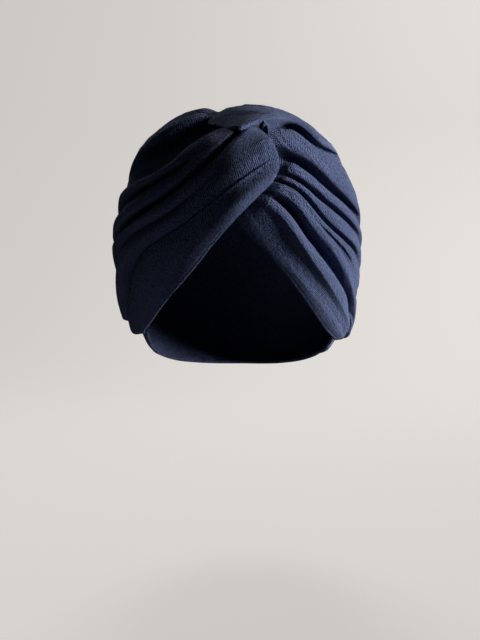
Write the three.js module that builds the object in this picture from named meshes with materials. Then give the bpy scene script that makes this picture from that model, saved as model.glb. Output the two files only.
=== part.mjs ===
import * as THREE from 'three';

// Twist-front turban of deep navy velour. Two pleated halves cross and interlock at the
// brow, and a plain panel closes the back down to the nape.
// Millimetres. +Z is up, -Y is the front, +X is the right as seen from the front.
// The origin is the top of the hollow, where the crown bears on the wearer.

// ---- the hollow: an egg-shaped space that every piece of cloth is laid over ----
const HOLLOW_HALF_WIDTH = 74;
const HOLLOW_HALF_DEPTH = 94;
const HOLLOW_RISE = 86;         // from the widest level up to the crown
const HOLLOW_DROP = 106;        // from the widest level down to the lowest point of the egg
const HOLLOW_SQUARENESS = 2.2;  // 2 is an ellipse, more is boxier towards the crown

// ---- the cloth ----
const DOUBLE = 2.6;             // wall of velour folded double
const SINGLE = 1.2;             // wall of one layer, where the halves lap over each other or the panel
const CREASE = 0.5;             // 0 is a soft wave, 1 is a round ridge over a sharp valley
const NAVY = 0x22283c;

// ---- along a fold: 0 is its end at the twist, 1 is its end at the rear seam ----
const STATION_AT = [0, 0.16, 0.42, 0.72, 1];
const ROLL_LENGTH = 0.07;       // a free end at the twist rolls over in this stretch
const LAP_START = 0.08;         // an end that goes under its neighbour stays low up to here
const LAP_END = 0.185;          // and has its full height from here
const TWIST_STEPS = [0, 0.012, 0.03, 0.055, 0.085, 0.12];
const SIDE_STEP_COUNT = 14;     // even steps from the second station to the rear lap
const REAR_LAP_AT = 0.93;       // the back panel reaches under the halves as far as this
const STEPS_PER_FLANK = 2;      // facets between one fold line and the next

// Kind of end at the twist.
const ROLL = 'roll', LAP = 'lap';

// ---- fold tables ----
// One row for each fold line, from the hem up to the middle of the crown. A form is an edge,
// a ridge or a valley. tuck is the height of the end at the twist. Each station is
// [turn, rise, stand]: degrees round from the front towards +X, degrees up from the widest
// level, and millimetres that the outside of the cloth stands off the hollow.
const FOLD_COLUMNS = ['name', 'form', 'tuck', 'end', 'wall', 'twist', 'front', 'corner', 'side', 'rear'];

const LEFT_FOLDS = [
  ['hem', 'edge', 10, ROLL, DOUBLE, [13.3, 22.7, 10.5], [-0.8, 11.2, 8], [-18.1, -4, 3.6], [-40.6, -18.6, 3.4], [-65.9, -30.4, 6.8]],
  ['front_band', 'ridge', 11.5, ROLL, DOUBLE, [16.1, 26.7, 14], [2.6, 18.9, 13], [-21.1, 0.7, 7.5], [-46.3, -11.8, 8], [-76.4, -30, 10.5]],
  ['seam_crease', 'valley', 11.5, ROLL, DOUBLE, [16.8, 32, 13.8], [1.9, 23.7, 13.4], [-23, 9.1, 5.4], [-58.4, -6.6, 4.4], [-71.4, -23.2, 11.6]],
  ['band_lower', 'ridge', 12.2, ROLL, DOUBLE, [15.8, 35.3, 15], [-0.8, 27.5, 15.2], [-24.4, 11.6, 9], [-60.9, -6, 11.4], [-92, -26, 12.2]],
  ['band_dip', 'valley', 11.6, ROLL, DOUBLE, [14.7, 38.9, 14.5], [-2.2, 29.3, 15.2], [-29.8, 13.2, 6], [-75.9, -4.2, 7.6], [-98, -20.5, 10.4]],
  ['band_upper', 'ridge', 6.4, ROLL, DOUBLE, [11.7, 47.6, 9], [-4.3, 32.7, 15], [-29.9, 14.8, 10.4], [-81.1, -1.5, 11], [-104, -15.5, 9.6]],
  ['ridge_valley', 'valley', 4.5, ROLL, DOUBLE, [6, 51.5, 6.4], [-8.3, 35.1, 7.4], [-38.9, 16.2, 3.2], [-82.9, 0.4, 6.4], [-108, -11, 7.2]],
  ['ridge_lower', 'ridge', 5, ROLL, DOUBLE, [0.8, 47.8, 8], [-11.4, 35.2, 13.8], [-35.6, 20.1, 11.5], [-85.1, 3.9, 10.8], [-111, -6, 7.6]],
  ['ridge_split', 'valley', 4.5, ROLL, DOUBLE, [-2.1, 48.9, 7.4], [-13.5, 35.5, 13.9], [-43.4, 23.2, 4.8], [-84.8, 10.1, 6.6], [-114, -1, 6]],
  ['ridge_upper', 'ridge', 4, ROLL, DOUBLE, [-5.1, 49.5, 6], [-16.5, 37.9, 13.4], [-40.7, 25.8, 11.6], [-86.2, 17.2, 9.4], [-117, 7, 6.6]],
  ['hollow_low', 'valley', 3, LAP, DOUBLE, [-5.6, 52, 3], [-25.1, 47.3, 3], [-48.9, 32.9, 3], [-86, 23, 7.4], [-119, 12, 6]],
  ['hollow_high', 'valley', 3, LAP, DOUBLE, [0.3, 65.7, 3], [-33.4, 54.9, 3], [-53.1, 41.4, 3], [-86, 28, 8], [-121.5, 18, 6]],
  ['crown_inner', 'ridge', 3, LAP, DOUBLE, [-0.3, 69.5, 3], [-34.1, 56.6, 8], [-55.1, 45.5, 11.4], [-87, 34.8, 9.6], [-124, 24, 6.4]],
  ['crown_groove', 'valley', 3, LAP, DOUBLE, [0, 72.3, 3], [-46.2, 65.1, 5.6], [-71.4, 47.4, 8.4], [-90, 39, 7.8], [-128, 32, 6]],
  ['crown_fold', 'ridge', 3, LAP, DOUBLE, [3.2, 75.9, 3], [-54.5, 69.9, 7.6], [-82, 53.4, 10], [-97, 43, 9], [-133, 41, 6.4]],
  ['crown_slack', 'valley', 3, LAP, DOUBLE, [8.5, 79.5, 3], [-71.7, 74.5, 5], [-100.5, 62.8, 5.5], [-116.5, 53, 5.5], [-145, 50, 6]],
  ['crown_back', 'ridge', 3, LAP, DOUBLE, [11.1, 81.9, 3], [-96, 78.3, 5.6], [-129.9, 73.8, 6.2], [-148.4, 66.1, 6.2], [-161, 57.5, 6.2]],
  ['crown_lap', 'valley', 3, ROLL, SINGLE, [17.6, 83.6, 3], [-97.8, 81, 3.2], [-146.2, 76.8, 3.2], [-160.9, 68.6, 3.2], [-167.8, 60.1, 3.2]],
  ['top_edge', 'edge', 2.9, ROLL, SINGLE, [25.5, 84.6, 2.9], [120.6, 86.4, 3], [164.2, 78.6, 3.2], [171.2, 69.5, 3.2], [175.4, 60.7, 3.2]],
];

const RIGHT_FOLDS = [
  ['hem', 'edge', 4.2, LAP, DOUBLE, [-6, 16, 4.2], [4.2, 5.5, 3.6], [21.2, -8, 3.4], [44.9, -24.4, 3.4], [70.8, -33.2, 6.5]],
  ['hem_roll', 'ridge', 5, LAP, DOUBLE, [-3, 17.7, 5], [8.8, 7.5, 6.4], [23.7, -7.2, 7.4], [45.2, -20.8, 7.6], [73.2, -32.3, 9.2]],
  ['hem_dip', 'valley', 5.2, LAP, DOUBLE, [-0.9, 19.2, 5.2], [12, 10.9, 7.4], [25.6, -3.6, 8.8], [45.1, -17.4, 9], [71.3, -30.1, 9.8]],
  ['front_band', 'ridge', 5.4, LAP, DOUBLE, [1.3, 20.6, 5.4], [13.4, 13.2, 8.8], [25.2, -0.5, 12], [45.8, -16, 11.4], [78.6, -30.6, 9]],
  ['band_shadow', 'valley', 5, LAP, DOUBLE, [3.5, 22.2, 5], [17.1, 16.7, 5.4], [32.8, 1.5, 3.2], [61.2, -16.4, 3.4], [71.6, -25.3, 8.6]],
  ['first_fold', 'ridge', 5.6, LAP, DOUBLE, [6, 23.6, 5.6], [18.9, 18.5, 9], [32.9, 6.4, 10.4], [55.6, -10.1, 9.2], [93.2, -33.3, 11.5]],
  ['first_split', 'valley', 5.5, LAP, DOUBLE, [7.2, 24.6, 5.5], [20.3, 19.7, 8.8], [34.7, 6.9, 9.6], [66.3, -11.5, 4.4], [97, -31, 9.4]],
  ['first_upper', 'ridge', 5.5, LAP, DOUBLE, [8.3, 25.6, 5.5], [21.8, 20.7, 8.4], [36.2, 7.7, 9.8], [78.2, -11.1, 7.4], [101, -26, 8]],
  ['second_gap', 'valley', 5, LAP, DOUBLE, [9.6, 26.6, 5], [23.2, 21.8, 4.5], [41.5, 7.4, 3.2], [81, -8, 5], [105, -20, 7]],
  ['second_fold', 'ridge', 5.4, LAP, DOUBLE, [11, 27.6, 5.4], [23.3, 23.4, 8], [39.7, 11.9, 9.2], [83, -4.5, 6.8], [109, -13, 7.2]],
  ['third_gap', 'valley', 5, LAP, DOUBLE, [12.1, 28.6, 5], [24.7, 24.9, 5.8], [44.5, 14.5, 4.2], [84, -1.6, 5.8], [111, -6, 6.2]],
  ['third_fold', 'ridge', 5.6, LAP, DOUBLE, [13.6, 30, 5.6], [25.2, 27.3, 9], [42, 17.6, 9], [85, 2.1, 7.2], [114, 2, 6.6]],
  ['pocket', 'valley', 3, ROLL, DOUBLE, [16, 36.6, 3], [30.2, 32.3, 3], [49.1, 21.7, 3.2], [86, 6.8, 6.2], [117, 10, 6.2]],
  ['broad_fold', 'ridge', 3.4, LAP, DOUBLE, [11.1, 38.7, 9], [29.3, 35.3, 10.5], [46.1, 25.6, 9.4], [86, 14.3, 7.2], [120, 18, 6.6]],
  ['broad_crest', 'ridge', 3, LAP, DOUBLE, [13, 43.2, 8.2], [28.9, 42.2, 8.8], [47.9, 30.8, 8.6], [86, 24, 6.6], [123, 25, 6.4]],
  ['top_gap', 'valley', 10.6, ROLL, DOUBLE, [13.7, 47.8, 11.4], [33.9, 51.6, 4.6], [51.5, 40.3, 5], [86, 34, 6.2], [126, 30, 6]],
  ['over_fold', 'ridge', 14, ROLL, DOUBLE, [-0.3, 42.6, 14.6], [36.4, 55.4, 9], [53.4, 44, 8.8], [88, 42.5, 7.5], [131, 38, 6.4]],
  ['over_fall', 'ridge', 7.1, ROLL, DOUBLE, [-13.8, 51.8, 7.3], [35.5, 64.5, 8.4], [64.1, 47.5, 8.1], [92, 45.7, 7.4], [134, 42, 6.5]],
  ['crown_fold', 'ridge', 7, ROLL, DOUBLE, [-25, 55, 7.1], [34.7, 73.7, 7.2], [77, 49.9, 7.2], [96, 49.1, 7], [137, 46, 6.6]],
  ['crown_slack', 'valley', 5.1, ROLL, SINGLE, [-32.4, 72.6, 5.2], [63.2, 77.9, 5.8], [99.2, 62.9, 6], [117.1, 53.9, 6.2], [146, 52, 6.2]],
  ['crown_back', 'ridge', 5.1, ROLL, SINGLE, [-41.3, 79.5, 5.2], [90, 85.4, 6], [128.2, 74.2, 7.2], [142.4, 64.3, 7], [159, 57.5, 6.6]],
  ['top_edge', 'edge', 5.1, ROLL, SINGLE, [-59.4, 82.8, 5.1], [-114.2, 84.1, 5.1], [-157.1, 78.1, 5], [-169.1, 69.4, 5], [-172.4, 60.2, 5]],
];

// ---- back panel ----
// Nape hem: degrees round from the front by way of the left, and degrees up.
const NAPE_COLUMNS = ['turn', 'rise'];
const NAPE_HEM = [
  [68, -30.5], [80, -36.5], [95, -42], [115, -47], [140, -50.5], [180, -52],
  [220, -50.5], [245, -46.5], [262, -41.5], [274, -37], [284, -33],
];
const PANEL_STAND = 5.4;        // outside of the panel off the hollow
const PANEL_HEM_STAND = 2.9;    // the hem draws in to this
const PANEL_LAP_STAND = 1.6;    // outside of the single layer under the halves
const PANEL_HEM_ROUND = 14;     // length of the hem's curve
const SEAM_FLAT = 3;            // the panel stays low this far behind the halves' rear ends
const SEAM_ROUND = 4.5;         // and then rises to its full stand in this length
const WALL_CHANGE = 4;          // single wall to double wall in this length
const PANEL_BODY_ROWS = 9;
const SHORT_COLUMN = 25;        // columns shorter than this shrink their curves to suit
const MEAN_RADIUS = 90;         // turns angles between columns into lengths
// Fold lines of the flaps and of the crown's lap have no panel column below them.
const LEFT_WITHOUT_PANEL = ['hem', 'front_band', 'crown_lap', 'top_edge'];
const RIGHT_WITHOUT_PANEL = ['hem', 'hem_roll', 'hem_dip', 'front_band'];

// ---------------------------------------------------------------------------------------

const named = (columns, rows) =>
  rows.map((row) => Object.fromEntries(columns.map((column, i) => [column, row[i]])));

function direction(turn, rise) {
  const a = THREE.MathUtils.degToRad(turn), b = THREE.MathUtils.degToRad(rise);
  return new THREE.Vector3(Math.cos(b) * Math.sin(a), -Math.cos(b) * Math.cos(a), Math.sin(b));
}

// Point that stands off the hollow along its outward normal.
function onHollow(d, stand) {
  const flat = Math.hypot(d.x, d.y), up = d.z > 0;
  const power = up ? HOLLOW_SQUARENESS : 2;
  const half = up ? HOLLOW_RISE : HOLLOW_DROP;
  const reach = (flat ** power + Math.abs(d.z) ** power) ** (-1 / power);
  const x = d.x * reach, y = d.y * reach, z = d.z * reach;
  const k = Math.max(flat * reach, 1e-9) ** (power - 2);
  const normal = new THREE.Vector3(
    (k * x) / HOLLOW_HALF_WIDTH, (k * y) / HOLLOW_HALF_DEPTH,
    (Math.abs(z) ** (power - 1) * Math.sign(z)) / half).normalize();
  return new THREE.Vector3(HOLLOW_HALF_WIDTH * x, HOLLOW_HALF_DEPTH * y, half * z - HOLLOW_RISE)
    .addScaledVector(normal, stand);
}

// Cubic through the values at the given places; a guarded one never overshoots them.
function cubic(places, values, guarded) {
  const last = places.length - 1;
  const gap = [], slope = [];
  for (let i = 0; i < last; i++) {
    gap.push(places[i + 1] - places[i]);
    slope.push((values[i + 1] - values[i]) / gap[i]);
  }
  const tangent = values.map((_, i) => {
    if (i === 0) return slope[0];
    if (i === last) return slope[last - 1];
    const [a, b] = [slope[i - 1], slope[i]];
    const mean = (a * gap[i] + b * gap[i - 1]) / (gap[i - 1] + gap[i]);
    if (!guarded) return mean;
    if (a * b <= 0) return 0;
    return Math.sign(mean) * Math.min(Math.abs(mean), 3 * Math.min(Math.abs(a), Math.abs(b)));
  });
  return (at) => {
    let i = 0;
    while (i < last - 1 && at >= places[i + 1]) i++;
    const t = (at - places[i]) / gap[i], t2 = t * t, t3 = t2 * t;
    return values[i] * (2 * t3 - 3 * t2 + 1) + tangent[i] * gap[i] * (t3 - 2 * t2 + t)
      + values[i + 1] * (3 * t2 - 2 * t3) + tangent[i + 1] * gap[i] * (t3 - t2);
  };
}

const ease = (t) => t * t * (3 - 2 * t);
const quarterRound = (t) => Math.sqrt(Math.max(0, 1 - (1 - THREE.MathUtils.clamp(t, 0, 1)) ** 2));

// One fold line: its direction and its stand at any place along it.
function foldLine(row) {
  const stations = STATION_AT.map((_, i) => row[FOLD_COLUMNS[FOLD_COLUMNS.indexOf('twist') + i]]);
  const directions = stations.map(([turn, rise]) => direction(turn, rise));
  const [x, y, z] = ['x', 'y', 'z'].map((axis) => cubic(STATION_AT, directions.map((d) => d[axis]), false));
  const stand = cubic(STATION_AT, stations.map((s) => s[2]), true);
  const end = (at) => (row.end === LAP
    ? ease(THREE.MathUtils.clamp((at - LAP_START) / (LAP_END - LAP_START), 0, 1))
    : quarterRound(at / ROLL_LENGTH));
  return {
    form: row.form, wall: row.wall,
    direction: (at) => new THREE.Vector3(x(at), y(at), z(at)).normalize(),
    stand: (at) => row.tuck + (stand(at) - row.tuck) * end(at),
  };
}

// Height of a flank between two fold lines: rounded over a ridge, creased in a valley.
function flank(fromForm, toForm, t) {
  const climb = (s) => (1 - CREASE) * ease(s) + CREASE * quarterRound(s);
  if (toForm === 'ridge' && fromForm !== 'ridge') return climb(t);
  if (fromForm === 'ridge' && toForm !== 'ridge') return 1 - climb(1 - t);
  return ease(t);
}

// Closed wall between an outer and an inner grid of points, given as rows of equal length.
function wallGeometry(outer, inner, flip) {
  const rows = outer.length, columns = outer[0].length, size = rows * columns;
  const positions = [...outer.flat(), ...inner.flat()].flatMap((p) => [p.x, p.y, p.z]);
  const index = [];
  const quad = (a, b, c, d) => (flip ? index.push(a, c, b, a, d, c) : index.push(a, b, c, a, c, d));
  const out = (i, j) => i * columns + j;
  const inn = (i, j) => size + i * columns + j;
  for (let i = 0; i < rows - 1; i++) {
    for (let j = 0; j < columns - 1; j++) {
      quad(out(i, j), out(i, j + 1), out(i + 1, j + 1), out(i + 1, j));
      quad(inn(i, j), inn(i + 1, j), inn(i + 1, j + 1), inn(i, j + 1));
    }
  }
  for (let i = 0; i < rows - 1; i++) {
    const j = columns - 1;
    quad(out(i, 0), out(i + 1, 0), inn(i + 1, 0), inn(i, 0));
    quad(out(i, j), inn(i, j), inn(i + 1, j), out(i + 1, j));
  }
  for (let j = 0; j < columns - 1; j++) {
    const i = rows - 1;
    quad(out(0, j), inn(0, j), inn(0, j + 1), out(0, j + 1));
    quad(out(i, j), out(i, j + 1), inn(i, j + 1), inn(i, j));
  }
  const geometry = new THREE.BufferGeometry();
  geometry.setAttribute('position', new THREE.Float32BufferAttribute(positions, 3));
  geometry.setIndex(index);
  geometry.computeVertexNormals();
  return geometry;
}

// Pleated half: fold lines from hem to crown, joined by their flanks.
function pleatedHalf(lines, flip) {
  const from = STATION_AT[1];
  const places = [...TWIST_STEPS];
  for (let i = 0; i <= SIDE_STEP_COUNT; i++) {
    places.push(from + ((REAR_LAP_AT - from) * i) / SIDE_STEP_COUNT);
  }
  places.push((REAR_LAP_AT + 1) / 2, 1);
  const outer = [], inner = [];
  const addRow = (low, high, t) => {
    const outerRow = [], innerRow = [];
    const wall = THREE.MathUtils.lerp(low.wall, high.wall, t);
    for (const at of places) {
      const d = low.direction(at).lerp(high.direction(at), t).normalize();
      const stand = THREE.MathUtils.lerp(low.stand(at), high.stand(at), flank(low.form, high.form, t));
      outerRow.push(onHollow(d, stand));
      innerRow.push(onHollow(d, stand - wall));
    }
    outer.push(outerRow);
    inner.push(innerRow);
  };
  for (let i = 0; i < lines.length - 1; i++) {
    for (let k = 0; k < STEPS_PER_FLANK; k++) addRow(lines[i], lines[i + 1], k / STEPS_PER_FLANK);
  }
  addRow(lines[lines.length - 2], lines[lines.length - 1], 1);
  return wallGeometry(outer, inner, flip);
}

function arcBetween(a, b, t) {
  const angle = a.angleTo(b), s = Math.max(Math.sin(angle), 1e-9);
  return a.clone().multiplyScalar(Math.sin((1 - t) * angle) / s).addScaledVector(b, Math.sin(t * angle) / s);
}

// Back panel: a column below the rear end of every fold line, round from the left flap to
// the right one, from the nape hem up to the lap under the halves.
function backPanel(leftLines, rightLines) {
  const ends = [...leftLines, ...rightLines.slice().reverse()];
  const middle = leftLines.length - 0.5, lastColumn = ends.length - 1;
  const hem = named(NAPE_COLUMNS, NAPE_HEM);
  const hemRise = cubic(hem.map((p) => p.turn), hem.map((p) => p.rise), true);
  const firstTurn = hem[0].turn, lastTurn = hem[hem.length - 1].turn, backTurn = 180;
  const outer = [], inner = [];
  ends.forEach((line, column) => {
    const turn = column <= middle
      ? THREE.MathUtils.lerp(firstTurn, backTurn, column / middle)
      : THREE.MathUtils.lerp(backTurn, lastTurn, (column - middle) / (lastColumn - middle));
    const low = direction(-turn, hemRise(turn));
    const seam = line.direction(1), top = line.direction(REAR_LAP_AT);
    const length = low.angleTo(seam) * MEAN_RADIUS;
    const shrink = Math.min(1, length / SHORT_COLUMN);
    const flat = SEAM_FLAT * shrink, round = SEAM_ROUND * shrink;
    const body = THREE.MathUtils.lerp(PANEL_HEM_STAND, PANEL_STAND, shrink);
    const bodyEnd = length - flat - round;
    const distances = [];
    for (let i = 0; i <= PANEL_BODY_ROWS; i++) distances.push((bodyEnd * i) / PANEL_BODY_ROWS);
    distances.push(length - flat - round / 2, length - flat - round / 8, length - flat, length);
    const outerColumn = [], innerColumn = [];
    const add = (d, stand, wall) => {
      outerColumn.push(onHollow(d, stand));
      innerColumn.push(onHollow(d, stand - wall));
    };
    for (const fromHem of distances) {
      const behindSeam = Math.max(0, length - fromHem - flat);
      const atHem = THREE.MathUtils.lerp(PANEL_HEM_STAND, body, quarterRound(fromHem / (PANEL_HEM_ROUND * shrink)));
      const atSeam = THREE.MathUtils.lerp(PANEL_LAP_STAND, body, quarterRound(behindSeam / round));
      const wall = THREE.MathUtils.lerp(SINGLE, DOUBLE, Math.min(1, behindSeam / WALL_CHANGE));
      add(arcBetween(low, seam, fromHem / length), Math.min(atHem, atSeam), wall);
    }
    for (const t of [0.5, 1]) add(arcBetween(seam, top, t), PANEL_LAP_STAND, SINGLE);
    outer.push(outerColumn);
    inner.push(innerColumn);
  });
  return wallGeometry(outer, inner, false);
}

const velour = () => new THREE.MeshStandardMaterial({ color: NAVY, roughness: 0.95, metalness: 0 });

function piece(name, geometry) {
  const mesh = new THREE.Mesh(geometry, velour());
  mesh.name = name;
  return mesh;
}

const leftRows = named(FOLD_COLUMNS, LEFT_FOLDS), rightRows = named(FOLD_COLUMNS, RIGHT_FOLDS);
const overPanel = (rows, without) => rows.filter((row) => !without.includes(row.name)).map(foldLine);

const turban = new THREE.Group();
turban.add(
  piece('wrap_left', pleatedHalf(leftRows.map(foldLine), true)),
  piece('wrap_right', pleatedHalf(rightRows.map(foldLine), false)),
  piece('back_panel', backPanel(overPanel(leftRows, LEFT_WITHOUT_PANEL), overPanel(rightRows, RIGHT_WITHOUT_PANEL))),
);

export default turban;
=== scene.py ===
import math
import bpy
import numpy as np
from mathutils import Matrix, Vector


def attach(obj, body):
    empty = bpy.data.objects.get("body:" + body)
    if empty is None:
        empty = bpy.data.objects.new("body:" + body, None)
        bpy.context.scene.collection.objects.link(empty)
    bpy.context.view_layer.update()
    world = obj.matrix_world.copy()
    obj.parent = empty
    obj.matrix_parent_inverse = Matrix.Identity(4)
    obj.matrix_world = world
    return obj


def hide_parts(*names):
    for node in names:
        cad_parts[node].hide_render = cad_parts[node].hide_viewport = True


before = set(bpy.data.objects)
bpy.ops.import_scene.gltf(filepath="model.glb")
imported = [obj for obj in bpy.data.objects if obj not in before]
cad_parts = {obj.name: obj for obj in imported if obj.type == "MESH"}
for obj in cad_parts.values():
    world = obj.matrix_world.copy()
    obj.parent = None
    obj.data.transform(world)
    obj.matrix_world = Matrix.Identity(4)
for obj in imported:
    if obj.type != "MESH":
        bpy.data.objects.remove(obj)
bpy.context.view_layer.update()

# Twist-front turban of deep navy velour: two pleated halves cross at the brow, and a plain
# panel closes the back. Tables are in millimetres and degrees; meshes are made in metres.
MM = 0.001

# ---- the hollow that the cloth is laid over ----
HALF_WIDTH, HALF_DEPTH = 74.0, 94.0
RISE, DROP = 86.0, 106.0
SQUARENESS = 2.2

# ---- the cloth ----
DOUBLE, SINGLE = 2.6, 1.2           # wall of velour folded double, and of one layer
STATION_AT = np.array([0.0, 0.16, 0.42, 0.72, 1.0])   # along a fold, from twist to rear seam
ROLL_LENGTH = 0.07                  # a free end at the twist rolls over in this stretch
LEFT_LAP, RIGHT_LAP = (0.06, 0.165), (0.045, 0.125)   # an end that goes under its neighbour comes up here
FALL_LENGTH = 0.10                  # an end that falls into a hollow drops in this stretch
REAR_LAP_AT = 0.93                  # the back panel reaches under the halves this far
ROLL, LAP = "roll", "lap"

# ---- fold tables ----
# One row for each fold line, from the hem up to the middle of the crown. Each station is
# (turn, rise, stand): degrees round from the front, degrees up from the widest level, and
# millimetres that the outside of the cloth stands off the hollow.
FOLD_COLUMNS = ("name", "form", "tuck", "end", "wall", "twist", "front", "corner", "side", "rear")

LEFT_FOLDS = [
    ("hem", "edge", 10, ROLL, DOUBLE, (13.3, 22.7, 10.5), (-0.8, 11.2, 8), (-18.1, -4, 3.6), (-40.6, -18.6, 3.4), (-65.9, -30.4, 6.8)),
    ("front_band", "ridge", 11.5, ROLL, DOUBLE, (16.1, 26.7, 14), (2.6, 18.9, 13), (-21.1, 0.7, 7.5), (-46.3, -11.8, 8), (-76.4, -30, 10.5)),
    ("seam_crease", "valley", 11.5, ROLL, DOUBLE, (16.8, 32, 13.8), (1.9, 23.7, 13.4), (-23, 9.1, 5.4), (-58.4, -6.6, 4.4), (-71.4, -23.2, 11.6)),
    ("band_lower", "ridge", 12.2, ROLL, DOUBLE, (15.8, 35.3, 15), (-0.8, 27.5, 15.2), (-24.4, 11.6, 9), (-60.9, -6, 11.4), (-92, -26, 12.2)),
    ("band_dip", "valley", 11.6, ROLL, DOUBLE, (14.7, 38.9, 14.5), (-2.2, 29.3, 15.2), (-29.8, 13.2, 6), (-75.9, -4.2, 7.6), (-98, -20.5, 10.4)),
    ("band_upper", "ridge", 6.4, ROLL, DOUBLE, (11.7, 47.6, 9), (-4.3, 32.7, 15), (-29.9, 14.8, 10.4), (-81.1, -1.5, 11), (-104, -15.5, 9.6)),
    ("ridge_valley", "valley", 4.5, ROLL, DOUBLE, (6, 51.5, 6.4), (-8.3, 35.1, 7.4), (-38.9, 16.2, 3.2), (-82.9, 0.4, 6.4), (-108, -11, 7.2)),
    ("ridge_lower", "ridge", 5, ROLL, DOUBLE, (0.8, 47.8, 8), (-11.4, 35.2, 13.8), (-35.6, 20.1, 11.5), (-85.1, 3.9, 10.8), (-111, -6, 7.6)),
    ("ridge_split", "valley", 4.5, ROLL, DOUBLE, (-2.1, 48.9, 7.4), (-13.5, 35.5, 13.9), (-43.4, 23.2, 4.8), (-84.8, 10.1, 6.6), (-114, -1, 6)),
    ("ridge_upper", "ridge", 4, ROLL, DOUBLE, (-5.1, 49.5, 6), (-16.5, 37.9, 13.4), (-40.7, 25.8, 11.6), (-86.2, 17.2, 9.4), (-117, 7, 6.6)),
    ("hollow_low", "valley", 3, LAP, DOUBLE, (-5.6, 52, 3), (-25.1, 47.3, 3), (-48.9, 32.9, 3), (-86, 23, 7.4), (-119, 12, 6)),
    ("hollow_high", "valley", 3, LAP, DOUBLE, (0.3, 65.7, 3), (-33.4, 54.9, 3), (-53.1, 41.4, 3), (-86, 28, 8), (-121.5, 18, 6)),
    ("crown_inner", "ridge", 3, LAP, DOUBLE, (-0.3, 69.5, 3), (-34.1, 56.6, 8), (-55.1, 45.5, 11.4), (-87, 34.8, 9.6), (-124, 24, 6.4)),
    ("crown_groove", "valley", 3, LAP, DOUBLE, (0, 72.3, 3), (-46.2, 65.1, 5.6), (-71.4, 47.4, 8.4), (-90, 39, 7.8), (-128, 32, 6)),
    ("crown_fold", "ridge", 3, LAP, DOUBLE, (3.2, 75.9, 3), (-54.5, 69.9, 7.6), (-82, 53.4, 10), (-97, 43, 9), (-133, 41, 6.4)),
    ("crown_slack", "valley", 3, LAP, DOUBLE, (8.5, 79.5, 3), (-71.7, 74.5, 5), (-100.5, 62.8, 5.5), (-116.5, 53, 5.5), (-145, 50, 6)),
    ("crown_back", "ridge", 3, LAP, DOUBLE, (11.1, 81.9, 3), (-96, 78.3, 5.6), (-129.9, 73.8, 6.2), (-148.4, 66.1, 6.2), (-161, 57.5, 6.2)),
    ("crown_lap", "valley", 3, ROLL, SINGLE, (17.6, 83.6, 3), (-97.8, 81, 3.2), (-146.2, 76.8, 3.2), (-160.9, 68.6, 3.2), (-167.8, 60.1, 3.2)),
    ("top_edge", "edge", 2.9, ROLL, SINGLE, (25.5, 84.6, 2.9), (120.6, 86.4, 3), (164.2, 78.6, 3.2), (171.2, 69.5, 3.2), (175.4, 60.7, 3.2)),
]

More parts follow.
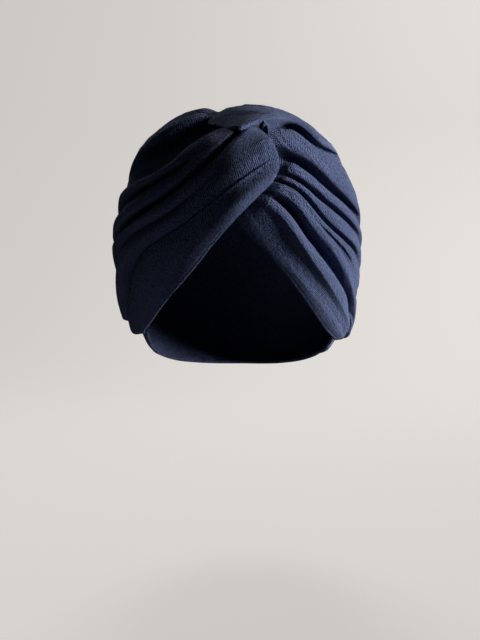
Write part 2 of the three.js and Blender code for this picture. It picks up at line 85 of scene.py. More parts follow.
RIGHT_FOLDS = [
    ("hem", "edge", 4.2, LAP, DOUBLE, (-6, 16, 4.2), (4.2, 5.5, 3.6), (21.2, -8, 3.4), (44.9, -24.4, 3.4), (70.8, -33.2, 6.5)),
    ("hem_roll", "ridge", 5, LAP, DOUBLE, (-3, 17.7, 5), (8.8, 7.5, 6.4), (23.7, -7.2, 7.4), (45.2, -20.8, 7.6), (73.2, -32.3, 9.2)),
    ("hem_dip", "valley", 5.2, LAP, DOUBLE, (-0.9, 19.2, 5.2), (12, 10.9, 7.4), (25.6, -3.6, 8.8), (45.1, -17.4, 9), (71.3, -30.1, 9.8)),
    ("front_band", "ridge", 5.4, LAP, DOUBLE, (1.3, 20.6, 5.4), (13.4, 13.2, 8.8), (25.2, -0.5, 12), (45.8, -16, 11.4), (78.6, -30.6, 9)),
    ("band_shadow", "valley", 5, LAP, DOUBLE, (3.5, 22.2, 5), (17.1, 16.7, 5.4), (32.8, 1.5, 3.2), (61.2, -16.4, 3.4), (71.6, -25.3, 8.6)),
    ("first_fold", "ridge", 5.6, LAP, DOUBLE, (6, 23.6, 5.6), (18.9, 18.5, 9), (32.9, 6.4, 10.4), (55.6, -10.1, 9.2), (93.2, -33.3, 11.5)),
    ("first_split", "valley", 5.5, LAP, DOUBLE, (7.2, 24.6, 5.5), (20.3, 19.7, 8.8), (34.7, 6.9, 9.6), (66.3, -11.5, 4.4), (97, -31, 9.4)),
    ("first_upper", "ridge", 5.5, LAP, DOUBLE, (8.3, 25.6, 5.5), (21.8, 20.7, 8.4), (36.2, 7.7, 9.8), (78.2, -11.1, 7.4), (101, -26, 8)),
    ("second_gap", "valley", 5, LAP, DOUBLE, (9.6, 26.6, 5), (23.2, 21.8, 4.5), (41.5, 7.4, 3.2), (81, -8, 5), (105, -20, 7)),
    ("second_fold", "ridge", 5.4, LAP, DOUBLE, (11, 27.6, 5.4), (23.3, 23.4, 8), (39.7, 11.9, 9.2), (83, -4.5, 6.8), (109, -13, 7.2)),
    ("third_gap", "valley", 5, LAP, DOUBLE, (12.1, 28.6, 5), (24.7, 24.9, 5.8), (44.5, 14.5, 4.2), (84, -1.6, 5.8), (111, -6, 6.2)),
    ("third_fold", "ridge", 5.6, LAP, DOUBLE, (13.6, 30, 5.6), (25.2, 27.3, 9), (42, 17.6, 9), (85, 2.1, 7.2), (114, 2, 6.6)),
    ("pocket", "valley", 3, ROLL, DOUBLE, (16, 36.6, 3), (30.2, 32.3, 3), (49.1, 21.7, 3.2), (86, 6.8, 6.2), (117, 10, 6.2)),
    ("broad_fold", "ridge", 3.4, LAP, DOUBLE, (11.1, 38.7, 9), (29.3, 35.3, 10.5), (46.1, 25.6, 9.4), (86, 14.3, 7.2), (120, 18, 6.6)),
    ("broad_crest", "ridge", 3, LAP, DOUBLE, (13, 43.2, 8.2), (28.9, 42.2, 8.8), (47.9, 30.8, 8.6), (86, 24, 6.6), (123, 25, 6.4)),
    ("top_gap", "valley", 10.6, ROLL, DOUBLE, (13.7, 47.8, 11.4), (33.9, 51.6, 4.6), (51.5, 40.3, 5), (86, 34, 6.2), (126, 30, 6)),
    ("over_fold", "ridge", 14, ROLL, DOUBLE, (-0.3, 42.6, 14.6), (36.4, 55.4, 9), (53.4, 44, 8.8), (88, 42.5, 7.5), (131, 38, 6.4)),
    ("over_fall", "ridge", 7.1, ROLL, DOUBLE, (-13.8, 51.8, 7.3), (35.5, 64.5, 8.4), (64.1, 47.5, 8.1), (92, 45.7, 7.4), (134, 42, 6.5)),
    ("crown_fold", "ridge", 7, ROLL, DOUBLE, (-25, 55, 7.1), (34.7, 73.7, 7.2), (77, 49.9, 7.2), (96, 49.1, 7), (137, 46, 6.6)),
    ("crown_slack", "valley", 5.1, ROLL, SINGLE, (-32.4, 72.6, 5.2), (63.2, 77.9, 5.8), (99.2, 62.9, 6), (117.1, 53.9, 6.2), (146, 52, 6.2)),
    ("crown_back", "ridge", 5.1, ROLL, SINGLE, (-41.3, 79.5, 5.2), (90, 85.4, 6), (128.2, 74.2, 7.2), (142.4, 64.3, 7), (159, 57.5, 6.6)),
    ("top_edge", "edge", 5.1, ROLL, SINGLE, (-59.4, 82.8, 5.1), (-114.2, 84.1, 5.1), (-157.1, 78.1, 5), (-169.1, 69.4, 5), (-172.4, 60.2, 5)),
]

# How a valley is creased: 0 is a soft wave and 1 a sharp crease, at the front, the side and
# the rear; the share of a flank that is a flat floor; how far the roll on one side hangs over
# the valley, which roll that is, how many millimetres deeper the valley is pressed, and the
# place along the folds from which it is.
CREASE_COLUMNS = ("front", "side", "rear", "floor", "hang", "roll", "press", "start")
PLAIN_CREASE = (0.5, 0.5, 0.5, 0.0, 0.0, "", 0.0, 0.03)
LEFT_CREASES = {
    "seam_crease": (0.35, 0.7, 0.85, 0.0, 0.0, "below", 0.0, 0.03),
    "band_dip": (0.4, 0.6, 0.4, 0.0, 0.0, "below", 0.0, 0.03),
    "ridge_valley": (0.9, 0.95, 0.5, 0.1, 2.4, "above", 1.8, 0.03),
    "ridge_split": (0.0, 0.95, 0.5, 0.0, 1.8, "above", 1.0, 0.20),
    "hollow_low": (0.95, 0.95, 0.5, 0.5, 0.0, "below", 4.2, 0.03),
    "hollow_high": (0.8, 0.9, 0.5, 0.1, 3.0, "above", 4.2, 0.03),
    "crown_groove": (0.8, 0.9, 0.5, 0.0, 1.6, "below", 4.0, 0.03),
}
RIGHT_CREASES = {
    "hem_dip": (0.0, 0.1, 0.4, 0.0, 0.0, "above", 0.0, 0.03),
    "band_shadow": (0.9, 0.95, 0.5, 0.15, 1.4, "above", 2.2, 0.10),
    "first_split": (0.1, 0.9, 0.5, 0.0, 1.6, "above", 1.4, 0.36),
    "second_gap": (0.95, 0.95, 0.5, 0.15, 2.4, "above", 2.0, 0.03),
    "third_gap": (0.9, 0.95, 0.5, 0.05, 2.0, "above", 1.4, 0.03),
    "pocket": (0.95, 0.95, 0.5, 0.15, 3.2, "above", 2.4, 0.03),
    "top_gap": (0.95, 0.95, 0.5, 0.1, 2.8, "above", 1.8, 0.0),
}

# Ends of the fold over the twist fall softly into the hollow: stand at the very end.
RIGHT_FALL = {"over_fall": 4.2, "crown_fold": 3.4, "crown_slack": 3.4, "crown_back": 3.4, "top_edge": 3.4}
# Folds that come up close beside the twist, and where.
RIGHT_EARLY = {"broad_fold": (0.0, 0.022), "broad_crest": (0.0, 0.022)}
# Lines that are pulled in beside the twist, along the hem or beside the rear seam: where that
# begins, where it is deepest, where it ends, and how deep in millimetres.
PULLED = {
    "seam_crease": (0.58, 0.88, 1.10, 4.6), "top_gap": (0.010, 0.05, 0.20, 5.0),
    "hem_roll": (0.03, 0.32, 0.85, 2.1), "hem_dip": (0.03, 0.32, 0.85, 2.2),
}
# Places along the folds where the rolls stop hanging over: where that begins, and where it ends.
LEFT_CALM, RIGHT_CALM = (0.44, 0.70), (0.48, 0.72)
LAP_PRESS = 1.3     # a lap is pressed this much flatter than its table says
LAP_CLEAR, THINNEST = 0.25, 0.6     # room between a lap and the panel below it, and the least wall there
# The seam of the front band: a bead beside a groove, fading out along the band.
SEAM_ROW, SEAM_BEAD, SEAM_GROOVE, SEAM_END = "seam_crease", 0.65, 0.25, 0.55

# ---- the back panel ----
# (turn, rise) of the nape hem, measured from the front round by the left.
NAPE_HEM = [
    (68, -30.5), (80, -36.5), (95, -42), (115, -47), (140, -50.5), (180, -52),
    (220, -50.5), (245, -46.5), (262, -41.5), (274, -37), (284, -33),
]
PANEL_STAND, PANEL_HEM_STAND, PANEL_LAP_STAND = 5.4, 2.9, 1.6
PANEL_HEM_ROUND, SEAM_FLAT, SEAM_ROUND, WALL_CHANGE = 14.0, 4.2, 4.5, 4.0
SHORT_COLUMN, MEAN_RADIUS, PANEL_CORNER = 25.0, 90.0, 3.6
LEFT_WITHOUT_PANEL = ("hem", "front_band", "crown_lap", "top_edge")
RIGHT_WITHOUT_PANEL = ("hem", "hem_roll", "hem_dip", "front_band")


# ---------------------------------------------------------------- form
def direction(turn, rise):
    turn, rise = np.radians(turn), np.radians(rise)
    return np.stack([np.cos(rise) * np.sin(turn), -np.cos(rise) * np.cos(turn), np.sin(rise)], -1)


def unit(v):
    return v / np.maximum(np.linalg.norm(v, axis=-1, keepdims=True), 1e-12)


def hollow(d):
    """Point of the hollow in each direction, and its outward normal."""
    d = unit(d)
    across, up = np.hypot(d[..., 0], d[..., 1]), d[..., 2] > 0
    power = np.where(up, SQUARENESS, 2.0)
    reach = np.where(up, (across**SQUARENESS + np.abs(d[..., 2]) ** SQUARENESS) ** (-1 / SQUARENESS), 1.0)
    height = np.where(up, RISE, DROP)
    size = np.stack([np.full_like(across, HALF_WIDTH), np.full_like(across, HALF_DEPTH), height], -1)
    on = d * reach[..., None]
    point = on * size + np.array([0, 0, -RISE])
    side = np.maximum(across * reach, 1e-9) ** (power - 2)
    slope = np.stack(
        [side * on[..., 0], side * on[..., 1], np.abs(on[..., 2]) ** (power - 1) * np.sign(d[..., 2])], -1
    )
    return point, unit(slope / size)


def ease(t):
    return t * t * (3 - 2 * t)


def quarter_round(t):
    return np.sqrt(np.clip(1 - (1 - np.clip(t, 0, 1)) ** 2, 0, 1))


def cubic(at, values, where, guard=False):
    """Smooth curve through values; guard keeps it from overshooting them."""
    values, where = np.asarray(values, float), np.asarray(where, float)
    gap = np.diff(at)
    rate = np.diff(values, axis=-1) / gap
    slope = np.empty_like(values)
    slope[..., 0], slope[..., -1] = rate[..., 0], rate[..., -1]
    slope[..., 1:-1] = (rate[..., :-1] * gap[1:] + rate[..., 1:] * gap[:-1]) / (gap[1:] + gap[:-1])
    if guard:
        least = 3 * np.minimum(np.abs(rate[..., :-1]), np.abs(rate[..., 1:]))
        same = rate[..., :-1] * rate[..., 1:] > 0
        middle = slope[..., 1:-1]
        slope[..., 1:-1] = np.where(same, np.sign(middle) * np.minimum(np.abs(middle), least), 0)
    i = np.clip(np.searchsorted(at, where, side="right") - 1, 0, len(at) - 2)
    h = gap[i]
    x = (where - at[i]) / h
    return (
        values[..., i] * (2 * x**3 - 3 * x**2 + 1)
        + slope[..., i] * h * (x**3 - 2 * x**2 + x)
        + values[..., i + 1] * (3 * x**2 - 2 * x**3)
        + slope[..., i + 1] * h * (x**3 - x**2)
    )


def soft_noise(x, y, seed):
    """Smooth noise between -1 and 1, with features about 1 across."""
    table = np.random.RandomState(seed).uniform(-1, 1, (97, 89))
    i, j = np.floor(x).astype(int), np.floor(y).astype(int)
    s, t = ease(x - i), ease(y - j)
    at = lambda a, b: table[(i + a) % 97, (j + b) % 89]
    return (at(0, 0) * (1 - s) + at(1, 0) * s) * (1 - t) + (at(0, 1) * (1 - s) + at(1, 1) * s) * t


def named(columns, rows):
    return [dict(zip(columns, row)) for row in rows]


def fold_line(row, at, lap=LEFT_LAP, fall=None):
    """Direction and stand of one fold line, at places along it."""
    stations = np.array([row[k] for k in ("twist", "front", "corner", "side", "rear")], float)
    d = unit(cubic(STATION_AT, direction(stations[:, 0], stations[:, 1]).T, at).T)
    stand = cubic(STATION_AT, stations[:, 2], at, guard=True)
    tuck = row["tuck"]
    if fall is not None:
        tuck, share = fall, np.sin(np.clip(at / FALL_LENGTH, 0, 1) * np.pi / 2)
    elif row["end"] == LAP:
        tuck, share = tuck - LAP_PRESS, ease(np.clip((at - lap[0]) / (lap[1] - lap[0]), 0, 1))
    else:
        share = quarter_round(at / ROLL_LENGTH)
    return d, tuck + (stand - tuck) * share


def arc(points, axis):
    """Length along a grid from its start, in millimetres."""
    step = np.linalg.norm(np.diff(points, axis=axis), axis=-1)
    zero = np.zeros_like(np.take(step, [0], axis))
    return np.cumsum(np.concatenate([zero, step], axis), axis)


def curved_between(d, flanks):
    """Directions between fold lines, on a smooth curve through the lines at each place."""
    chord = np.maximum(np.linalg.norm(np.diff(d, axis=0), axis=-1, keepdims=True), 1e-6)
    rate = np.diff(d, axis=0) / chord
    slope = np.concatenate(
        [rate[:1], (rate[:-1] * chord[1:] + rate[1:] * chord[:-1]) / (chord[1:] + chord[:-1]), rate[-1:]]
    )
    out = []
    for i, t in enumerate(flanks):
        x, h = t[..., None], chord[i][None]
        out.append(
            d[i] * (2 * x**3 - 3 * x**2 + 1) + slope[i] * h * (x**3 - 2 * x**2 + x)
            + d[i + 1] * (3 * x**2 - 2 * x**3) + slope[i + 1] * h * (x**3 - x**2)
        )
    return unit(np.concatenate(out))


def pleated_half(rows, at, per_flank, lap, creases, calm, falls, seed):
    """Outer and inner grids of a half, from its hem to the middle of the crown."""
    lines = [fold_line(row, at, RIGHT_EARLY.get(row["name"], lap), falls.get(row["name"])) for row in rows]
    # An end that goes under or over another piece thins to one layer.
    thinning = ease(np.clip(at / 0.14, 0, 1))
    # Grooves are pressed and rolls hang over them only between the twist and the sides.
    fade = ease(np.clip((calm[1] - at) / (calm[1] - calm[0]), 0, 1))
    middle = lambda crease: ease(np.clip((at - crease["start"]) / 0.10, 0, 1)) * fade
    walls = []
    for row, line in zip(rows, lines):
        crease = dict(zip(CREASE_COLUMNS, creases.get(row["name"], PLAIN_CREASE)))
        line[1][:] -= crease["press"] * middle(crease)
        if row["name"] in PULLED:
            begin, deepest, finish, depth = PULLED[row["name"]]
            line[1][:] -= depth * ease(np.interp(at, [begin, deepest, finish], [0, 1, 0]))
        thin = row["end"] == LAP or row["name"] in falls
        walls.append(np.minimum(row["wall"], SINGLE + (row["wall"] - SINGLE) * (thinning if thin else 1.0)) * np.ones_like(at))
    starts, outer_t, inner_t, stand, under = [0], [], [], [], []
    for i, row in enumerate(rows[:-1]):
        after = rows[i + 1]
        h0, h1, w0, w1 = lines[i][1], lines[i + 1][1], walls[i], walls[i + 1]
        rising = after["form"] == "ridge" and row["form"] != "ridge"
        falling = row["form"] == "ridge" and after["form"] != "ridge"
        valley = row if rising else after
        crease = dict(zip(CREASE_COLUMNS, creases.get(valley["name"], PLAIN_CREASE)))
        hung = crease["hang"] > 0 and (rising and crease["roll"] == "above" or falling and crease["roll"] == "below")
        count = per_flank + (6 if hung else 0)
        steps = (np.arange(count + (i == len(rows) - 2)) / count)[:, None]
        sharp = np.interp(at, [0.16, 0.5, 1.0], [crease[k] for k in ("front", "side", "rear")])[None]
        floor = crease["floor"]
        if rising or falling:
            q = steps if rising else 1 - steps      # from the valley to the ridge
            t = 0.4 * q + 0.6 * (1 - np.cos(q * np.pi / 2))
            s = np.clip((t - floor) / (1 - floor), 0, 1)
            share = (1 - sharp) * ease(s) + sharp * quarter_round(s)
            t = t * np.ones_like(sharp)
            below_t, below = t, share
            if hung:
                # The cloth runs in under the roll, doubles back and goes out over it.
                curl = middle(crease)[None]
                rolled_t = q + crease["hang"] * np.sin(2 * np.pi * q) / (2 * np.pi)
                rolled = ease(np.clip((q - 0.1) / 0.8, 0, 1))
                t = t * (1 - curl) + rolled_t * curl
                share = share * (1 - curl) + rolled * curl
                lowest = ease(np.clip((below_t - 0.72) / 0.28, 0, 1))
                below = below * (1 - curl) + np.minimum(below, lowest) * curl
            if falling:
                t, below_t, share, below = 1 - t, 1 - below_t, 1 - share, 1 - below
        else:
            t = below_t = steps * np.ones_like(sharp)
            share = below = ease(steps) * np.ones_like(sharp)
        outer_t.append(t)
        inner_t.append(below_t)
        stand.append(h0 * (1 - share) + h1 * share)
        under.append(h0 * (1 - below) + h1 * below - (w0 * (1 - below_t) + w1 * below_t))
        starts.append(starts[-1] + count)
    stand, under = np.concatenate(stand), np.concatenate(under)
    d = np.array([line[0] for line in lines])
    point, normal = hollow(curved_between(d, outer_t))
    first = point + normal * stand[..., None]
    along, across = arc(first, 1), arc(first, 0)
    # Slack in the cloth: long soft wrinkles that run with the folds, and a slight unevenness.
    slack = 0.30 * soft_noise(along / 34, across / 6.5, seed) + 0.22 * soft_noise(along / 15 + 7, across / 11, seed + 1)
    # Gathers where the end falls into the hollow.
    if falls:
        centre = starts[next(i for i, row in enumerate(rows) if row["name"] in falls)] + per_flank // 2
        near = np.exp(-(((np.arange(len(stand)) - centre) / (1.6 * per_flank)) ** 2))[:, None]
        slack = slack + 1.3 * near * np.exp(-((at / 0.17) ** 2))[None] * soft_noise(along / 40, across / 3.6, seed + 2)
    # The bead and groove of the seam.
    for i, row in enumerate(rows):
        if row["name"] == SEAM_ROW:
            off = across - across[starts[i]]
            line = SEAM_BEAD * np.exp(-(((off + 1.4) / 0.75) ** 2)) - SEAM_GROOVE * np.exp(-((off / 0.7) ** 2))
            slack = slack + line * (np.clip((SEAM_END - at) / 0.15, 0, 1) * np.clip((at - 0.03) / 0.08, 0, 1))[None]
    # The rear end turns down into the seam.
    rear = quarter_round((1 - at) / 0.03)[None]
    moved = slack * np.clip((at - 0.02) / 0.05, 0, 1)[None]
    drop = (stand - np.minimum(stand, 4.6)) * (1 - rear)
    # The inside of the rear lap stays smooth, and clear of the panel that it lies on.
    smooth = ease(np.clip((REAR_LAP_AT - 0.02 - at) / 0.06, 0, 1))
    stand, under = stand + moved * rear - drop, under + np.minimum(moved, 0) * rear * smooth - drop
    under = np.maximum(under, PANEL_LAP_STAND + LAP_CLEAR - 160 * np.maximum(0, REAR_LAP_AT - 0.012 - at))
    stand = np.where(at > REAR_LAP_AT - 0.06, np.maximum(stand, under + THINNEST), stand)
    inner_point, inner_normal = hollow(curved_between(d, inner_t))
    return point + normal * stand[..., None], inner_point + inner_normal * under[..., None]


def slerp(a, b, t):
    angle = np.arccos(np.clip((a * b).sum(-1, keepdims=True), -1, 1))
    s = np.maximum(np.sin(angle), 1e-9)
    return (a * np.sin((1 - t) * angle) + b * np.sin(t * angle)) / s


def back_panel(left, right, per_column, body_rows):
    """Outer and inner grids of the panel, from the nape hem to the lap under the halves."""
    ends = left + right[::-1]
    middle, last = len(left) - 0.5, len(ends) - 1
    seam = np.array([fold_line(row, np.array([1.0]))[0][0] for row in ends])
    top = np.array([fold_line(row, np.array([REAR_LAP_AT]))[0][0] for row in ends])
    column = np.linspace(0, last, last * per_column + 1)
    number = np.arange(len(ends), dtype=float)
    seam, top = (unit(cubic(number, x.T, column).T) for x in (seam, top))
    hem = np.array(NAPE_HEM, float)
    turn = np.where(
        column <= middle,
        hem[0, 0] + (180 - hem[0, 0]) * column / middle,
        180 + (hem[-1, 0] - 180) * (column - middle) / (last - middle),
    )
    low = direction(-turn, cubic(hem[:, 0], hem[:, 1], turn, guard=True))
    length = np.arccos(np.clip((low * seam).sum(-1), -1, 1)) * MEAN_RADIUS
    shrink = np.minimum(1, length / SHORT_COLUMN)
    flat, curve = np.maximum(SEAM_FLAT * shrink, np.minimum(3.2, 0.5 * length)), SEAM_ROUND * shrink
    body = PANEL_HEM_STAND + (PANEL_STAND - PANEL_HEM_STAND) * shrink
    body_end = length - flat - curve
    rows = [body_end * t for t in np.linspace(0, 1, body_rows + 1) ** 1.15]
    rows += [length - flat - curve * s for s in (0.8, 0.6, 0.42, 0.27, 0.15, 0.06, 0.015, 0)]
    rows += [length - flat * 0.5, length]
    d, stand, wall = [], [], []
    width = arc(hollow(low)[0][None], 1)[0]
    for from_hem in rows:
        behind = np.maximum(0, length - from_hem - flat)
        at_hem = PANEL_HEM_STAND + (body - PANEL_HEM_STAND) * quarter_round(from_hem / (PANEL_HEM_ROUND * shrink))
        at_seam = PANEL_LAP_STAND + (body - PANEL_LAP_STAND) * quarter_round(behind / curve)
        # Gathers hang from the seam and die out down the panel.
        fall = np.exp(-(behind / 30.0) ** 2) * np.clip(behind / 5.0, 0, 1) * shrink
        gather = 2.1 * soft_noise(width / 7.0, behind / 60, 31) + 0.9 * soft_noise(width / 19, behind / 40, 32)
        soft = 0.35 * soft_noise(width / 30, from_hem / 26, 33) * np.clip(behind / 8, 0, 1) * shrink
        d.append(slerp(low, seam, (from_hem / length)[:, None]))
        stand.append(np.minimum(at_hem, at_seam) + fall * gather + soft)
        wall.append(SINGLE + (DOUBLE - SINGLE) * np.minimum(1, behind / WALL_CHANGE))
    for t in (0.25, 0.5, 0.75, 1.0):
        d.append(slerp(seam, top, t))
        stand.append(np.full_like(column, PANEL_LAP_STAND))
        wall.append(np.full_like(column, SINGLE))
    d, stand, wall = np.array(d), np.array(stand), np.array(wall)
    # The two lower corners lie flat under the flaps.
    corner = ease(np.clip(np.minimum(column, last - column) / PANEL_CORNER, 0, 1))
    stand = PANEL_LAP_STAND + (stand - PANEL_LAP_STAND) * corner
    wall = SINGLE + (wall - SINGLE) * corner
    point, normal = hollow(d)
    return point + normal * stand[..., None], point + normal * (stand - wall)[..., None]


# ---------------------------------------------------------------- closed cloth
UV_UNIT = 100.0     # millimetres of cloth to one unit of the cloth map
RIM_STEPS = 7       # points round a folded edge, odd
END_STEPS = 4       # rings that round off the two ends


def rim(outer, inner, before_outer, before_inner):
    """Points round the fold between the two faces of an edge."""
    middle, half = (outer + inner) / 2, (outer - inner) / 2
    away = unit(middle - (before_outer + before_inner) / 2)
    away = unit(away - half * ((away * half).sum(-1, keepdims=True) / np.maximum((half * half).sum(-1, keepdims=True), 1e-9)))
    reach = np.linalg.norm(half, axis=-1, keepdims=True)
    angles = np.linspace(0, np.pi, RIM_STEPS + 2)[1:-1]
    return np.array([middle + half * np.cos(a) + away * reach * np.sin(a) for a in angles])


def closed_cloth(name, outer, inner):
    """One closed mesh from an outer and an inner grid, with folded edges all round."""
    rows, columns = outer.shape[:2]
    ring = np.concatenate(
        [outer, rim(outer[-1], inner[-1], outer[-2], inner[-2]), inner[::-1], rim(inner[0], outer[0], inner[1], outer[1])]
    )
    count = len(ring)
    partner = np.concatenate(
        [
            np.arange(rows + RIM_STEPS + rows - 1, rows + RIM_STEPS - 1, -1),
            np.arange(rows + RIM_STEPS - 1, rows - 1, -1),
            np.arange(rows - 1, -1, -1),
            np.arange(count - 1, count - 1 - RIM_STEPS, -1),
        ]
    )
    along = arc(outer, 1)
    lengths = np.concatenate([along, np.repeat(along[-1:], RIM_STEPS, 0), along[::-1], np.repeat(along[:1], RIM_STEPS, 0)])
    around = arc(np.concatenate([ring, ring[:1]]), 0)
    around = np.repeat(around[:, columns // 2 : columns // 2 + 1], columns, 1) * 0.5 + around * 0.5
    middle = (ring + ring[partner]) / 2
    half = (ring - ring[partner]) / 2
    reach = np.linalg.norm(half, axis=-1, keepdims=True)
    angles = np.linspace(0, np.pi / 2, END_STEPS + 2)[1:-1]
    ends = {}
    for end, (a, b) in {"first": (0, 1), "last": (columns - 1, columns - 2)}.items():
        away = unit(middle[:, a] - middle[:, b])
        if end == "last":
            # The rear end is rounded level with the cloth, not down into the seam.
            wall = half[:, a]
            away = unit(away - wall * ((away * wall).sum(-1, keepdims=True) / np.maximum((wall * wall).sum(-1, keepdims=True), 1e-9)))
        ends[end] = [middle[:, a] + half[:, a] * np.cos(x) + away * reach[:, a] * np.sin(x) for x in angles]
    grid = np.stack([*ends["first"][::-1], *(ring[:, k] for k in range(columns)), *ends["last"]], 1)
    extend = lambda x, lo, hi: np.concatenate([np.repeat(x[:, :1], lo, 1), x, np.repeat(x[:, -1:], hi, 1)], 1)
    uv_along = extend(np.concatenate([lengths, lengths[:1]]), END_STEPS, END_STEPS)
    uv_around = extend(around, END_STEPS, END_STEPS)
    total = grid.shape[1]
    index = np.arange(count * total).reshape(count, total)
    nxt = np.roll(index, -1, 0)
    quads = np.stack([index[:, :-1], index[:, 1:], nxt[:, 1:], nxt[:, :-1]], -1).reshape(-1, 4)
    i0 = np.repeat(np.arange(count), total - 1)
    j0 = np.tile(np.arange(total - 1), count)
    corner_i = np.stack([i0, i0, i0 + 1, i0 + 1], -1)
    corner_j = np.stack([j0, j0 + 1, j0 + 1, j0], -1)
    quad_uv = np.stack([uv_along[corner_i, corner_j], uv_around[corner_i, corner_j]], -1)
    faces, uvs = quads.tolist(), [q.tolist() for q in quad_uv]
    path = [*range(2 * rows + RIM_STEPS + RIM_STEPS // 2, count), *range(rows + RIM_STEPS // 2 + 1)]
    for j, turned in ((0, False), (total - 1, True)):
        for i, k in zip(path[:-1], path[1:]):
            loop = list(dict.fromkeys([i, k, int(partner[k]), int(partner[i])]))
            loop = loop[::-1] if turned else loop
            faces.append([int(index[n, j]) for n in loop])
            uvs.append([[uv_along[n, j], uv_around[n, j]] for n in loop])
    points = grid.reshape(-1, 3) * MM
    tri = np.concatenate([quads[:, [0, 1, 2]], quads[:, [0, 2, 3]]])
    a, b, c = (points[tri[:, n]] for n in range(3))
    if (np.cross(a, b) * c).sum() < 0:
        faces, uvs = [f[::-1] for f in faces], [u[::-1] for u in uvs]
    mesh = bpy.data.meshes.new(name)
    mesh.from_pydata(points.tolist(), [], faces)
    layer = mesh.uv_layers.new(name="cloth")
    layer.data.foreach_set("uv", np.concatenate([np.asarray(u, float).ravel() for u in uvs]) / UV_UNIT)
    mesh.polygons.foreach_set("use_smooth", np.ones(len(mesh.polygons), bool))
    mesh.update()
    piece = bpy.data.objects.new(name, mesh)
    bpy.context.scene.collection.objects.link(piece)
    return piece


# ---------------------------------------------------------------- velour
def velour(name):
    """Deep navy velour: a short pile with a sheen, in fine ribs that run across the folds."""
    material = bpy.data.materials.new(name)
    material.use_nodes = True
    nodes, links = material.node_tree.nodes, material.node_tree.links
    shader = nodes["Principled BSDF"]

    def add(kind, **inputs):
        node = nodes.new(kind)
        for key, value in inputs.items():
            setattr(node, key, value)
        return node

    def math_node(operation, a, b=None):
        node = add("ShaderNodeMath", operation=operation)
        for socket, value in zip(node.inputs, (a, b)):
            if isinstance(value, bpy.types.NodeSocket):
                links.new(value, socket)
            elif value is not None:
                socket.default_value = value
        return node.outputs[0]

    def noise(vector, scale, detail, rough=0.5):
        node = add("ShaderNodeTexNoise")
        node.inputs["Scale"].default_value = scale
        node.inputs["Detail"].default_value = detail
        node.inputs["Roughness"].default_value = rough
        links.new(vector, node.inputs["Vector"])
        return node.outputs["Fac"]

    def ramp(fac, stops):
        node = add("ShaderNodeValToRGB")
        ends = node.color_ramp.elements
        ends[0].position, ends[0].color = stops[0][0], (*stops[0][1], 1)
        ends[1].position, ends[1].color = stops[-1][0], (*stops[-1][1], 1)
        for position, colour in stops[1:-1]:
            ends.new(position).color = (*colour, 1)
        links.new(fac, node.inputs["Fac"])
        return node.outputs["Color"]

    cloth = add("ShaderNodeUVMap", uv_map="cloth").outputs["UV"]
    place = add("ShaderNodeTexCoord").outputs["Object"]
    part = add("ShaderNodeSeparateXYZ")
    links.new(cloth, part.inputs[0])
    # Ribs about a millimetre apart, a little wavy.
    wander = math_node("MULTIPLY", noise(place, 110, 4, 0.6), 9.0)
    turns = math_node("MULTIPLY", part.outputs[0], 2 * math.pi * UV_UNIT / RIB_PITCH)
    rib = math_node("SINE", math_node("ADD", turns, wander))
    # Pile: fine uneven tufts.
    pile = noise(place, 720, 2, 0.55)
    nap = noise(place, 42, 4, 0.55)
    tone = math_node("ADD", math_node("MULTIPLY", nap, 0.14), math_node("MULTIPLY", pile, 0.86))
    colour = ramp(tone, [(0.41, NAVY_DARK), (0.50, NAVY), (0.59, NAVY_WORN)])
    links.new(colour, shader.inputs["Base Color"])
    links.new(
        math_node("ADD", math_node("MULTIPLY", nap, 0.16), 0.78), shader.inputs["Roughness"]
    )
    height = math_node("ADD", math_node("MULTIPLY", rib, 0.10), math_node("MULTIPLY", pile, 1.0))
    bump = add("ShaderNodeBump")
    bump.inputs["Strength"].default_value = 1.0
    bump.inputs["Distance"].default_value = 0.0032
    links.new(height, bump.inputs["Height"])
    links.new(bump.outputs["Normal"], shader.inputs["Normal"])
    shader.inputs["Specular IOR Level"].default_value = 0.12
    shader.inputs["Sheen Weight"].default_value = 0.30
    shader.inputs["Sheen Roughness"].default_value = 0.45
    shader.inputs["Sheen Tint"].default_value = (0.46, 0.54, 0.92, 1)
    return material


RIB_PITCH = 1.25
NAVY_DARK, NAVY, NAVY_WORN = (0.0215, 0.031, 0.074), (0.0325, 0.046, 0.107), (0.047, 0.066, 0.147)


# ---------------------------------------------------------------- pieces
left_rows, right_rows = named(FOLD_COLUMNS, LEFT_FOLDS), named(FOLD_COLUMNS, RIGHT_FOLDS)
places = np.concatenate(
    [0.16 * np.linspace(0, 1, 40, endpoint=False) ** 1.5, np.linspace(0.16, 0.95, 120, endpoint=False), 1 - 0.05 * np.linspace(1, 0, 22) ** 1.6]
)
grids = {
    "wrap_left": pleated_half(left_rows, places, 10, LEFT_LAP, LEFT_CREASES, LEFT_CALM, {}, 11),
    "wrap_right": pleated_half(right_rows, places, 8, RIGHT_LAP, RIGHT_CREASES, RIGHT_CALM, RIGHT_FALL, 21),
    "back_panel": back_panel(
        [r for r in left_rows if r["name"] not in LEFT_WITHOUT_PANEL],
        [r for r in right_rows if r["name"] not in RIGHT_WITHOUT_PANEL],
        7, 70,
    ),
}
finish = velour("velour")
for node, (outer, inner) in grids.items():
    piece = closed_cloth(node + "_cloth", outer, inner)
    piece.data.materials.append(finish)
    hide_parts(node)
    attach(piece, "root")

# ---------------------------------------------------------------- setting
FLOOR, CEILING, BACK, FRONT, SIDE = -0.300, 2.6, 1.15, -2.4, 2.4
CORNER, COVE = 0.9, 0.45    # radius of an upright corner, and of the bend from floor to wall


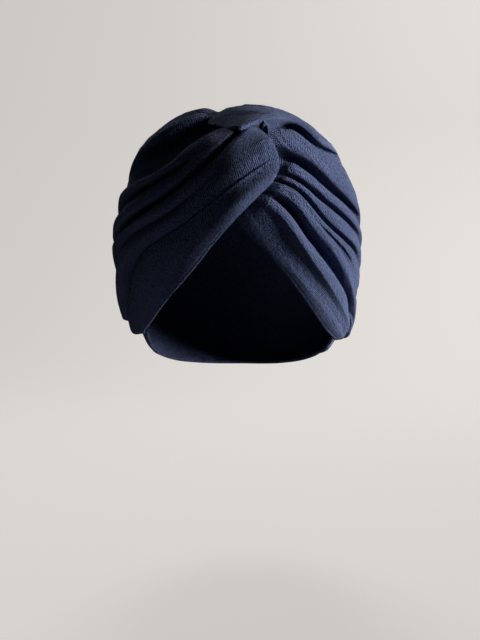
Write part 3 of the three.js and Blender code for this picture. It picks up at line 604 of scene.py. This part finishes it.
def pale(name, colour, glow_colour, glow):
    material = bpy.data.materials.new(name)
    material.use_nodes = True
    shader = material.node_tree.nodes["Principled BSDF"]
    shader.inputs["Base Color"].default_value = (*colour, 1)
    shader.inputs["Roughness"].default_value = 0.9
    shader.inputs["Specular IOR Level"].default_value = 0.1
    shader.inputs["Emission Color"].default_value = (*glow_colour, 1)
    shader.inputs["Emission Strength"].default_value = glow
    return material


def room_ring(inset, z):
    """Rounded rectangle this far in from the walls of the room."""
    centres = [(SIDE - CORNER, BACK - CORNER), (CORNER - SIDE, BACK - CORNER), (CORNER - SIDE, FRONT + CORNER), (SIDE - CORNER, FRONT + CORNER)]
    return [
        (x + (CORNER - inset) * math.cos(a), y + (CORNER - inset) * math.sin(a), z)
        for quarter, (x, y) in enumerate(centres)
        for a in np.linspace(quarter, quarter + 1, 13) * math.pi / 2
    ]


# The floor bends up all round into plain walls.
bend = [(COVE - COVE * math.sin(a), FLOOR + COVE - COVE * math.cos(a)) for a in np.linspace(0, math.pi / 2, 25)]
rings = [room_ring(inset, z) for inset, z in [*bend, (0.0, CEILING)]]
round_count = len(rings[0])
verts = [v for ring in rings for v in ring]
faces = [tuple(range(round_count))]
for i in range(len(rings) - 1):
    for j in range(round_count):
        k = (j + 1) % round_count
        faces.append((i * round_count + k, i * round_count + j, (i + 1) * round_count + j, (i + 1) * round_count + k))
mesh = bpy.data.meshes.new("floor")
mesh.from_pydata(verts, [], faces)
mesh.polygons.foreach_set("use_smooth", [False] + [True] * (len(faces) - 1))
floor = bpy.data.objects.new("floor", mesh)
bpy.context.scene.collection.objects.link(floor)
mesh.materials.append(pale("pale_floor", (0.50, 0.485, 0.465), (0.80, 0.775, 0.745), 0.72))
floor.visible_diffuse = floor.visible_glossy = floor.visible_shadow = False

scene = bpy.context.scene
scene.view_settings.view_transform = "Standard"
world = bpy.data.worlds.new("studio")
scene.world = world
world.use_nodes = True
world.node_tree.nodes["Background"].inputs["Color"].default_value = (0.86, 0.88, 0.92, 1)
world.node_tree.nodes["Background"].inputs["Strength"].default_value = 0.018


def area_light(name, place, target, size, power, colour, spread=180):
    data = bpy.data.lights.new(name, "AREA")
    data.shape, data.size, data.size_y = "RECTANGLE", *size
    data.energy, data.color, data.spread = power, colour, math.radians(spread)
    light = bpy.data.objects.new(name, data)
    scene.collection.objects.link(light)
    light.location = place
    light.rotation_euler = (Vector(target) - Vector(place)).to_track_quat("-Z", "Y").to_euler()
    light.visible_camera = False
    return light


window = area_light("window", (3.30, -0.04, 0.20), (0.0, 0.0, -0.08), (1.8, 1.8), 196.0, (1.0, 0.98, 0.945), 125)
area_light("wall_wash", (0.7, 0.35, 1.3), (0.75, 1.15, -0.05), (1.2, 0.8), 3.2, (1.0, 0.93, 0.88), 80)
area_light("table_fill", (-0.18, -0.62, -0.95), (0.0, 0.0, -0.08), (0.8, 0.8), 1.45, (0.96, 0.97, 1.0))
area_light("back_fill", (-0.25, 1.00, 0.35), (0.0, 0.0, -0.08), (0.8, 0.8), 0.4, (0.94, 0.96, 1.0), 90)
area_light("side_fill", (-2.20, 0.90, 0.45), (0.0, 0.0, -0.08), (1.2, 1.2), 0.4, (0.94, 0.96, 1.0), 90)
area_light("sky", (-0.05, 0.85, 1.15), (0.0, 0.0, -0.05), (0.5, 0.5), 1.3, (0.94, 0.97, 1.0), 90)
# The window lights the turban and leaves the floor evenly pale.
beside = bpy.data.collections.new("beside_window")
beside.objects.link(floor)
beside.collection_objects[0].light_linking.link_state = "EXCLUDE"
window.light_linking.receiver_collection = beside

camera_data = bpy.data.cameras.new("camera")
camera_data.sensor_width = 36.0
camera_data.lens = 36.0 * 962.0 / 640.0
camera = bpy.data.objects.new("camera", camera_data)
scene.collection.objects.link(camera)
camera.location = (0.0, -0.650, -0.0867)
camera.rotation_euler = (math.pi / 2 - math.atan(72.0 / 962.0), 0.0, 0.0)
scene.camera = camera
